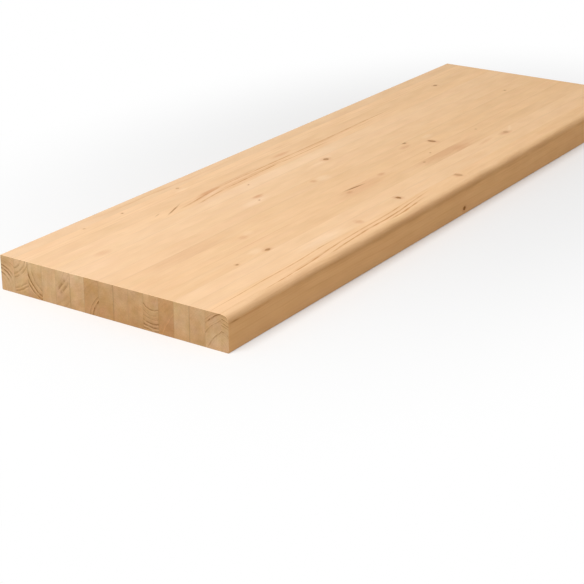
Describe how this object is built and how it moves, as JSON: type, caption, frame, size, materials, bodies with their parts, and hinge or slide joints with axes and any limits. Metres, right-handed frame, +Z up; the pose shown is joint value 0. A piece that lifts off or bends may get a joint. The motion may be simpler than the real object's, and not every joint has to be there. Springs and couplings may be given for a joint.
{
  "type": "edge-glued timber plank",
  "caption": "Flat solid-wood plank of full-length spruce staves glued edge to edge, with one long top edge rounded over, for stair treads, shelves and worktops.",
  "frame": {"origin": "centre of the underside", "axes": "+X across the staves to the rounded edge, +Y along the grain, +Z up through the thickness"},
  "size_m": [0.3, 1, 0.04],
  "materials": {
    "back_stave": "planed and sanded, unfinished",
    "stave_2": "planed and sanded, unfinished",
    "stave_3": "planed and sanded, unfinished",
    "stave_4": "planed and sanded, unfinished",
    "stave_5": "planed and sanded, unfinished",
    "stave_6": "planed and sanded, unfinished",
    "stave_7": "planed and sanded, unfinished",
    "stave_8": "planed and sanded, unfinished",
    "stave_9": "planed and sanded, unfinished",
    "stave_10": "planed and sanded, unfinished",
    "stave_11": "planed and sanded, unfinished",
    "stave_12": "planed and sanded, unfinished",
    "stave_13": "planed and sanded, unfinished",
    "stave_14": "planed and sanded, unfinished",
    "stave_15": "planed and sanded, unfinished",
    "nosing_stave": "planed and sanded, unfinished"
  },
  "bodies": {
    "root": {"back_stave": "back_stave", "stave_2": "stave_2", "stave_3": "stave_3", "stave_4": "stave_4", "stave_5": "stave_5", "stave_6": "stave_6", "stave_7": "stave_7", "stave_8": "stave_8", "stave_9": "stave_9", "stave_10": "stave_10", "stave_11": "stave_11", "stave_12": "stave_12", "stave_13": "stave_13", "stave_14": "stave_14", "stave_15": "stave_15", "nosing_stave": "nosing_stave"}
  },
  "joints": []
}
